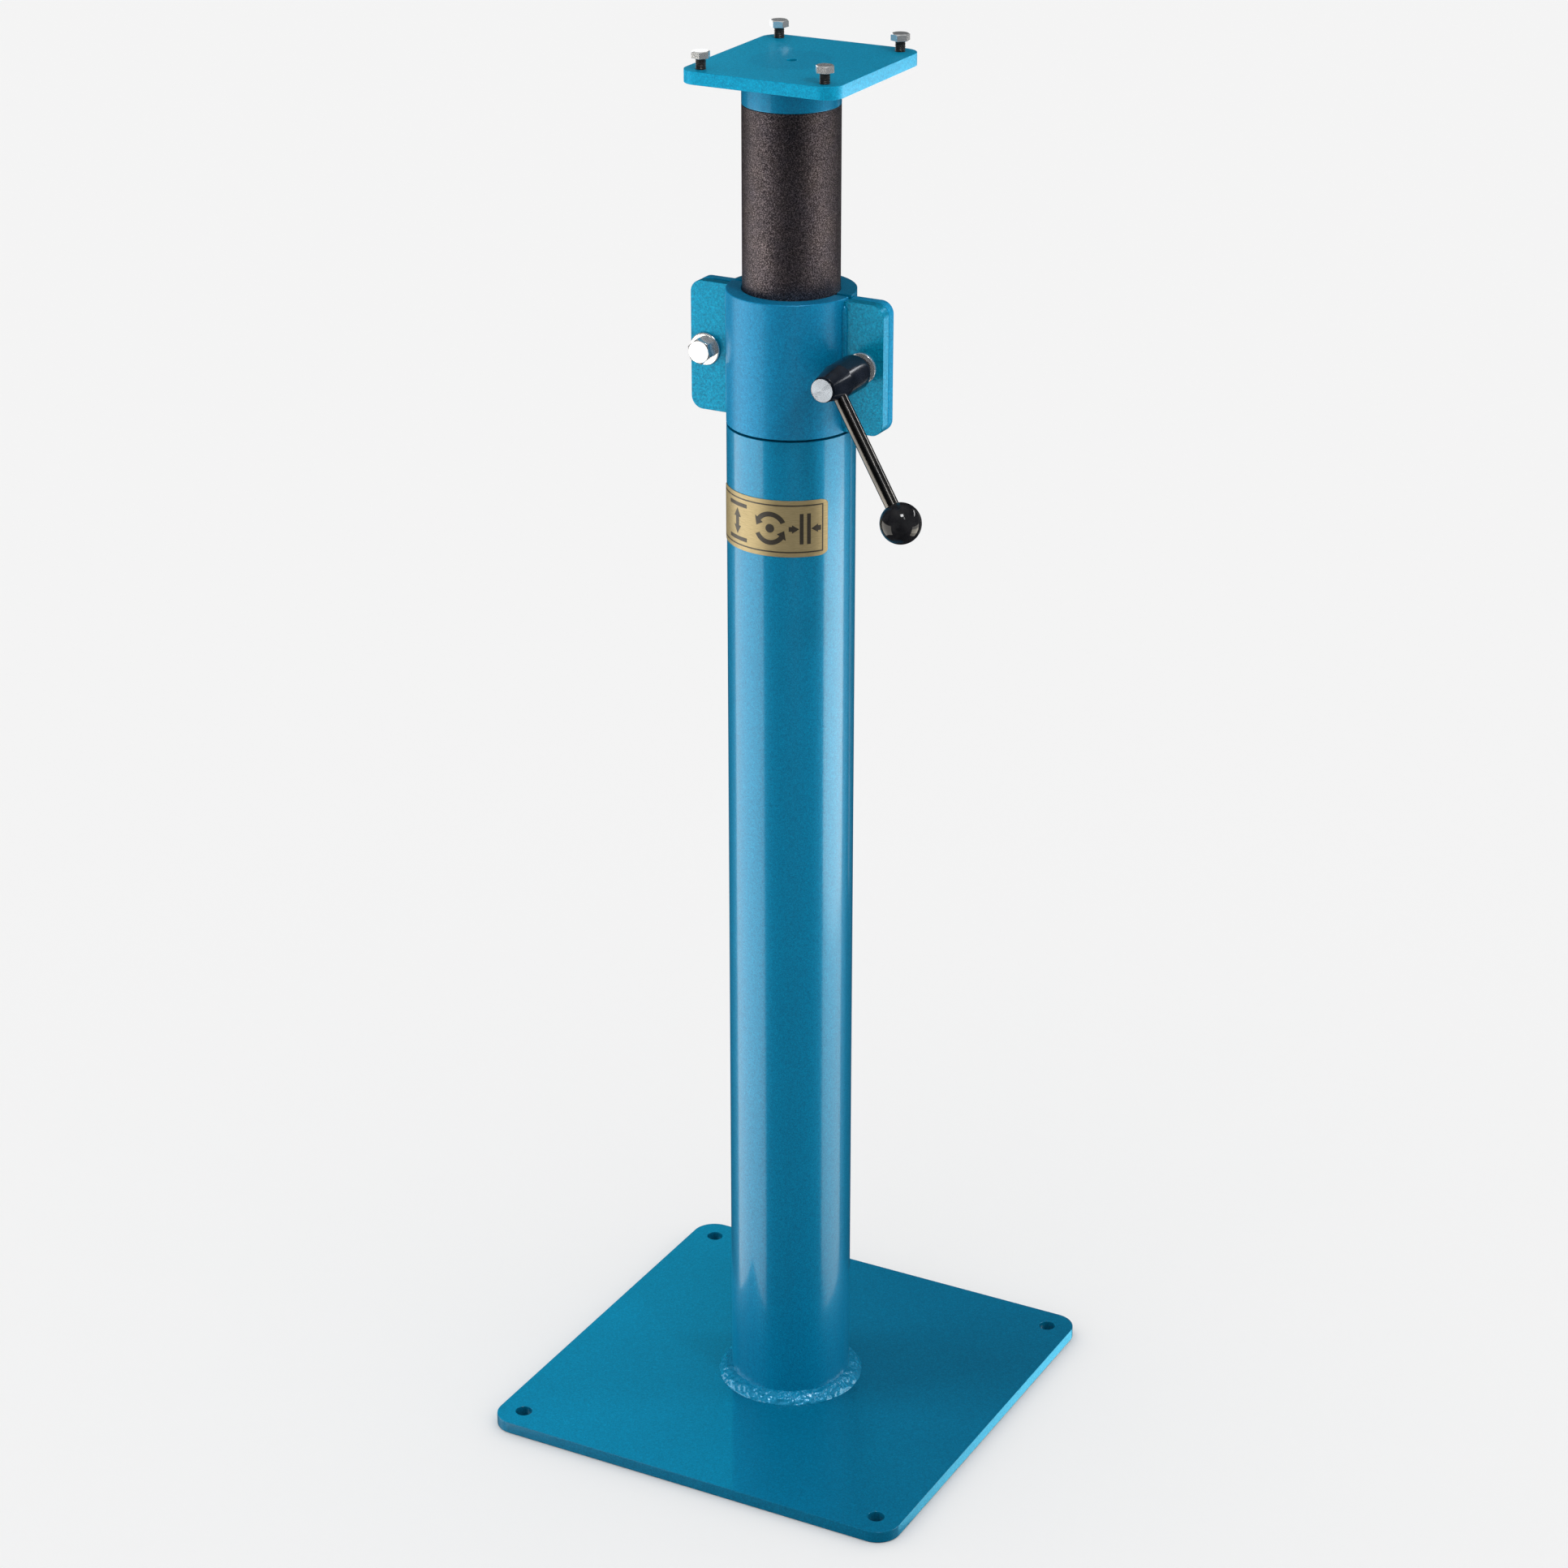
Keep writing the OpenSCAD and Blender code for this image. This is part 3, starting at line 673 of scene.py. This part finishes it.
hub_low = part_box("lever_hub")[0]
hub_axis = middle("thrust_washer")
front = -hub_low.y
end_r = 9.3 * MM
disc_r = 9.0 * MM
disc_at = front - 0.0001
bm = bmesh.new()
barrel = [(0, front - 0.0642), (0.0085, front - 0.0642), (0.0090, front - 0.0637),
          (0.0090, front - 0.0540), (0.0132, front - 0.0540), (0.0140, front - 0.0532),
          (0.0140, front - 0.0250), (end_r + 0.0006, front - 0.0026),
          (end_r - 0.0010, front - 0.0025), (end_r - 0.0010, front - 0.0013),
          (end_r, front - 0.0012), (end_r, disc_at)]
barrel = round_profile(barrel, 0.6 * MM)
rim = round_profile([barrel[-1], (end_r - 0.0001, front), (disc_r, front), (disc_r, disc_at)],
                    0.05 * MM)
hub_place = Matrix.Translation((hub_axis.x, 0, hub_axis.z)) @ TOWARDS_FRONT
lathe(bm, barrel + rim[1:], 128, hub_place)
cap = lathe(bm, [(disc_r, disc_at), (0.005, disc_at), (0.002, disc_at), (0, disc_at)], 128,
            hub_place)
for face in cap:
    face.material_index = 1
bmesh.ops.remove_doubles(bm, verts=bm.verts, dist=1e-6)
add_solid("lever_hub_turned", bm, "lever_hub", OXIDE, Vector((hub_axis.x, 0, hub_axis.z)),
          extra=(FACE,))

ball_centre = middle("ball_knob")
ball_low, ball_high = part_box("ball_knob")
ball_r = (ball_high.z - ball_low.z) / 2
rod_back = 20 * MM
cross = Vector((hub_axis.x, hub_low.y + rod_back, hub_axis.z))
along = ball_centre - cross
lever_len = along.length
lever_place = Matrix.Translation(cross) @ along.to_track_quat("Z", "Y").to_matrix().to_4x4()
rod_r, rod_tip_r = 5.6 * MM, 5.5 * MM
rod_end = lever_len - 3.5 * MM
bm = bmesh.new()
lathe(bm, [(0, 0.004), (rod_r, 0.004), (rod_r, 0.014), (rod_tip_r, lever_len - 0.015),
           (rod_tip_r, rod_end), (0, rod_end)], 64, lever_place)
add_solid("lever_rod_tapered", bm, "lever_rod", ROD, cross)

ball_foot = lever_len - 14.6 * MM
bore_end = lever_len - 4 * MM
bore_r = 5.7 * MM
bm = bmesh.new()
steps = 56
cut = math.acos(-0.0145 / ball_r)
arc = [(ball_r * math.sin(cut * i / steps), lever_len + ball_r * math.cos(cut * i / steps))
       for i in range(steps + 1)]
arc[0] = (0.0, lever_len + ball_r)
foot_r = arc[-1][0]
arc += [(foot_r - 0.0003, ball_foot), (bore_r, ball_foot), (bore_r, bore_end), (0, bore_end)]
lathe(bm, arc, 96, lever_place)
add_solid("ball_knob_polished", bm, "ball_knob", BALL, ball_centre)

# -------------------------------------------------------- screws in the plate

plate_low, plate_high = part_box("top_plate")
screw_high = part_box("vise_bolts")[1]
plate_mid = (plate_low + plate_high) / 2
under = plate_high.z + 8.4 * MM
head_h = screw_high.z - under
half_x, half_y = 52 * MM, 62 * MM
bm = bmesh.new()
for sx, sy, turn in ((-1, -1, 20), (1, -1, 34), (1, 1, 8), (-1, 1, 49)):
    seat = Matrix.Translation((plate_mid.x + sx * half_x, plate_mid.y + sy * half_y, under))
    hex_solid(bm, 13 * MM, head_h, seat @ Matrix.Rotation(math.radians(turn), 4, "Z"))
    first = len(bm.faces)
    thread_solid(bm, 4 * MM, 0.0, under - plate_low.z - 0.4 * MM, 1.25 * MM,
                 seat @ Matrix.Rotation(math.pi, 4, "X"))
    bm.faces.ensure_lookup_table()
    for face in bm.faces[first:]:
        face.material_index = 1
add_solid("vise_bolts_threaded", bm, "vise_bolts", ZINC, plate_mid, extra=(THREAD,))

# ------------------------------------------------------------------- nameplate

eased("nameplate", "nameplate_sheet", 0.15 * MM, 2, GOLD)
name_low, name_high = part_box("nameplate")
name_mid = (name_low.z + name_high.z) / 2
SHEET_R = -name_low.y
INK_T = 0.06 * MM


def stamp(bm, outline):
    """A flat outline in (arc length, height) millimetres, laid round the sheet as raised ink."""
    flat = bmesh.new()
    face = flat.faces.new([flat.verts.new((s, 0, z)) for s, z in outline])
    span = [s for s, _ in outline]
    step = 1.5
    s = math.floor(min(span) / step) * step + step
    while s < max(span) - 1e-3:
        bmesh.ops.bisect_plane(flat, geom=flat.verts[:] + flat.edges[:] + flat.faces[:],
                               plane_co=(s, 0, 0), plane_no=(1, 0, 0))
        s += step
    top = bmesh.ops.extrude_face_region(flat, geom=flat.faces[:])
    lifted = {v for v in top["geom"] if isinstance(v, bmesh.types.BMVert)}
    for v in flat.verts:
        r = SHEET_R + (INK_T if v in lifted else -0.02 * MM)
        a = v.co.x * MM / SHEET_R
        v.co = Vector((r * math.sin(a), -r * math.cos(a), name_mid + v.co.z * MM))
    bmesh.ops.recalc_face_normals(flat, faces=flat.faces)
    part = bpy.data.meshes.new("stamp")
    flat.to_mesh(part)
    flat.free()
    bm.from_mesh(part)
    bpy.data.meshes.remove(part)


def bar(s0, s1, z0, z1):
    """The outline of an upright rectangle."""
    return [(s0, z0), (s1, z0), (s1, z1), (s0, z1)]


def swing_arrow(bm, s, z, r, start, sweep, width):
    """An arc with an arrow head at its end."""
    steps = 14
    head_reach = 4.4
    outer, inner = [], []
    for i in range(steps + 1):
        a = math.radians(start + sweep * i / steps)
        outer.append((s + (r + width / 2) * math.cos(a), z + (r + width / 2) * math.sin(a)))
        inner.append((s + (r - width / 2) * math.cos(a), z + (r - width / 2) * math.sin(a)))
    for (o0, o1, i0, i1) in zip(outer, outer[1:], inner, inner[1:]):
        stamp(bm, [i0, o0, o1, i1])
    a = math.radians(start + sweep)
    tip = math.radians(start + sweep + math.copysign(30, sweep))
    stamp(bm, [(s + (r - head_reach) * math.cos(a), z + (r - head_reach) * math.sin(a)),
               (s + (r + head_reach) * math.cos(a), z + (r + head_reach) * math.sin(a)),
               (s + r * math.cos(tip), z + r * math.sin(tip))])


def arrow(bm, s, z, ds, dz, length, shaft, head):
    """A straight bold arrow from (s, z) along the unit direction (ds, dz)."""
    neck = length - head
    for outline in ([(0, -shaft / 2), (neck + 0.1, -shaft / 2), (neck + 0.1, shaft / 2),
                     (0, shaft / 2)],
                    [(neck, -head * 0.62), (length, 0), (neck, head * 0.62)]):
        stamp(bm, [(s + u * ds - v * dz, z + u * dz + v * ds) for u, v in outline])


# A frame line, up and down arrows between two bars, turning arrows round a dot, and two arrows
# closing on a pair of bars.
bm = bmesh.new()
half_w, half_h, line = 51.0, 19.6, 1.1
turn_s, turn_r, dot_r = 8.0, 11.6, 3.6
clamp_s, clamp_gap = 36.0, 2.9
for z in (-half_h, half_h - line):
    stamp(bm, bar(-half_w, half_w, z, z + line))
for s in (-half_w, half_w - line):
    stamp(bm, bar(s, s + line, -half_h + line, half_h - line))
for z in (-15.5, 12.3):
    stamp(bm, bar(-35.0, -13.0, z, z + 3.2))
for up in (-1, 1):
    arrow(bm, -24.0, 0.0, 0, up, 10.6, 4.0, 7.0)
for start in (25, 205):
    swing_arrow(bm, turn_s, 0.0, turn_r, start, 118, 4.0)
stamp(bm, [(turn_s + dot_r * math.cos(k * math.pi / 10), dot_r * math.sin(k * math.pi / 10))
           for k in range(20)])
for way in (-1, 1):
    middle_s = clamp_s + way * clamp_gap
    stamp(bm, bar(middle_s - 1.5, middle_s + 1.5, -12.5, 12.5))
    arrow(bm, clamp_s + way * 13.0, 0.0, -way, 0, 8.2, 4.0, 5.6)
ink = finish_mesh(bm, "nameplate_print", 40.0)
ink_piece = bpy.data.objects.new("nameplate_print", ink)
scene.collection.objects.link(ink_piece)
ink.materials.append(INK)
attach(ink_piece, NODE_BODY["nameplate"])

# --------------------------------------------------------------- camera, light


def area_light(name, azimuth, distance, height, size, energy, aim, tint=(1.0, 1.0, 1.0)):
    """A rectangular light at an azimuth and height, turned towards aim."""
    data = bpy.data.lights.new(name, "AREA")
    data.shape = "RECTANGLE"
    data.size, data.size_y = size
    data.energy = energy
    data.color = tint
    lamp = bpy.data.objects.new(name, data)
    scene.collection.objects.link(lamp)
    a = math.radians(azimuth)
    lamp.location = (math.sin(a) * distance, -math.cos(a) * distance, height)
    lamp.rotation_euler = (Vector(aim) - lamp.location).to_track_quat("-Z", "Y").to_euler()
    return lamp


CAMERA_AZIMUTH = 28.02
CAMERA_PITCH = 23.19
CAMERA_DISTANCE = 2.8479
CAMERA_OFFSET = -0.0057
CAMERA_HEIGHT = 1.7814
cam_data = bpy.data.cameras.new("camera")
cam_data.lens = 87.6
cam_data.sensor_width = 36
camera = bpy.data.objects.new("camera", cam_data)
scene.collection.objects.link(camera)
turn, tilt = math.radians(CAMERA_AZIMUTH), math.radians(CAMERA_PITCH)
back = Vector((math.sin(turn), -math.cos(turn), 0))
side = Vector((math.cos(turn), math.sin(turn), 0))
camera.location = (back * CAMERA_DISTANCE + side * CAMERA_OFFSET
                   + Vector((0, 0, CAMERA_HEIGHT)))
look = -back * math.cos(tilt) + Vector((0, 0, -math.sin(tilt)))
camera.rotation_euler = look.to_track_quat("-Z", "Y").to_euler()
scene.camera = camera


def limit_light(lamps, names, state):
    """Lights only the named objects (INCLUDE), or all but them (EXCLUDE)."""
    group = bpy.data.collections.new("receivers_of_" + lamps[0].name)
    for name in names:
        group.objects.link(bpy.data.objects[name])
    for lamp in lamps:
        lamp.light_linking.receiver_collection = group
    for entry in group.collection_objects:
        entry.light_linking.link_state = state


# Panels and bars are only mirrored; the soft lights only light. That keeps the floor even.
# Each row: name, azimuth from the camera, distance, height, size, power, tint.
SIDE_PANEL = (124, 1.5, 0.40, (0.80, 0.60))
BACK_PANEL = (-156, 1.6, 1.3, (1.3, 2.4))
AIM_HEIGHT = 0.9
LOWEST_TILTED = 1.5
mirrored_lamps = {}
for name, turn_by, distance, z, size, power, tint in (
        ("box_left_front", -66.5, 1.5, -0.02, (0.946, 1.54), 13.9, (1.0, 0.95, 0.86)),
        ("box_left_back", -101.5, 1.5, -0.02, (0.946, 1.54), 13.9, (1.0, 0.95, 0.86)),
        ("box_right_foot", 84, 1.5, -0.52, (1.30, 0.54), 6.4, (1.0, 0.93, 0.80)),
        ("box_right_mid", 84, 1.5, 0.025, (1.30, 0.55), 14.0, (1.0, 0.93, 0.80)),
        ("box_right_high", 84, 1.5, 0.46, (1.30, 0.32), 3.3, (1.0, 0.95, 0.88)),
        ("box_side", *SIDE_PANEL, 24, (1.0, 0.95, 0.88)),
        ("box_side_ears", *SIDE_PANEL, 3.5, (0.55, 0.90, 1.0)),
        ("box_rim", 136, 1.6, 0.75, (0.06, 2.0), 0.5, (1.0, 0.97, 0.90)),
        ("bar_hub", 113, 1.5, 1.58, (0.95, 0.12), 3.6, (1.0, 1.0, 1.0)),
        ("bar_rod", 26, 1.9, 2.59, (0.16, 0.50), 2.4, (1.0, 1.0, 1.0)),
        ("glint", 14, 1.3, 3.05, (0.62, 0.62), 34, (1.0, 1.0, 1.0)),
        ("box_side_low", 124, 1.5, -0.80, (0.80, 0.50), 6, (0.20, 0.80, 1.0)),
        ("box_back", *BACK_PANEL, 9, (0.12, 0.82, 1.0)),
        ("box_back_base", *BACK_PANEL, 16, (0.02, 0.80, 1.0)),
        ("box_back_zinc", *BACK_PANEL, 11, (1.0, 1.0, 1.0))):
    lamp = area_light(name, CAMERA_AZIMUTH + turn_by, distance, z, size, power,
                      (0, 0, AIM_HEIGHT if z > LOWEST_TILTED else z), tint)
    lamp.visible_diffuse = False
    lamp.visible_camera = False
    mirrored_lamps[name] = lamp
soft = [area_light("key", CAMERA_AZIMUTH + 34, 1.9, 2.67, (0.25, 0.25), 24, (0.05, 0, 0.9)),
        area_light("soft_left", CAMERA_AZIMUTH - 88, 1.6, 0.9, (0.9, 1.4), 30, (0, 0, 0.5)),
        area_light("soft_right", CAMERA_AZIMUTH + 88, 1.3, 1.0, (0.35, 0.9), 12, (0, 0, 0.8)),
        area_light("soft_front", CAMERA_AZIMUTH + 40, 2.0, 1.95, (0.30, 0.30), 5, (0, 0, 0.9)),
        area_light("soft_low", CAMERA_AZIMUTH + 8, 1.5, 0.35, (0.50, 0.50), 3, (0, 0, 0.30))]
for lamp in soft:
    lamp.visible_glossy = False
    lamp.visible_camera = False
for names, pieces, state in (
        (("box_back",), ("top_plate_painted",), "INCLUDE"),
        (("box_back_base", "box_side_low"), ("base_plate_painted",), "INCLUDE"),
        (("box_back_zinc",), ("vise_bolts_threaded",), "INCLUDE"),
        (("box_side",), ("top_plate_painted",), "INCLUDE"),
        (("box_side_ears",), ("jaw_ear_right_painted", "rear_ear_right_painted"), "INCLUDE"),
        (("box_right_foot", "box_right_mid", "box_right_high"),
         ("lever_hub_turned", "vise_bolts_threaded", "hinge_bolt_flanged"), "EXCLUDE")):
    limit_light([mirrored_lamps[name] for name in names], pieces, state)

# Surfaces are lit by an even white room, and mirror a dim one with a bright ceiling.
world = bpy.data.worlds.new("studio")
scene.world = world
world.use_nodes = True
sky = world.node_tree
plain = sky.nodes["Background"]
plain.inputs["Color"].default_value = (1.0, 1.0, 1.0, 1)
plain.inputs["Strength"].default_value = 0.92
mirrored = sky.nodes.new("ShaderNodeBackground")
mirrored.inputs["Strength"].default_value = 0.35
aim = sky.nodes.new("ShaderNodeTexCoord")
apart = sky.nodes.new("ShaderNodeSeparateXYZ")
sky.links.new(aim.outputs["Generated"], apart.inputs["Vector"])
overhead = ramp(sky, apart.outputs["Z"], [(0.58, (0.04, 0.05, 0.06)), (0.95, (1.0, 1.0, 1.0))])
sky.links.new(overhead, mirrored.inputs["Color"])
path = sky.nodes.new("ShaderNodeLightPath")
choose = sky.nodes.new("ShaderNodeMixShader")
sky.links.new(path.outputs["Is Glossy Ray"], choose.inputs["Fac"])
sky.links.new(plain.outputs["Background"], choose.inputs[1])
sky.links.new(mirrored.outputs["Background"], choose.inputs[2])
sky.links.new(choose.outputs["Shader"], sky.nodes["World Output"].inputs["Surface"])

FLOOR_RADIUS = 14.0
FLOOR_GAP = 0.5 * MM
floor_mesh = bpy.data.meshes.new("floor")
bm = bmesh.new()
bmesh.ops.create_circle(bm, cap_ends=True, segments=96, radius=FLOOR_RADIUS,
                        matrix=Matrix.Translation((0, 0, -FLOOR_GAP)))
bm.to_mesh(floor_mesh)
bm.free()
floor = bpy.data.objects.new("floor", floor_mesh)
scene.collection.objects.link(floor)
floor_mat, _, floor_shader = new_material("pale_floor")
floor_shader.inputs["Base Color"].default_value = (0.985, 0.985, 0.985, 1)
floor_shader.inputs["Roughness"].default_value = 1.0
floor_shader.inputs["Specular IOR Level"].default_value = 0.0
floor_mesh.materials.append(floor_mat)
floor.visible_glossy = False
limit_light(soft, ("floor",), "EXCLUDE")
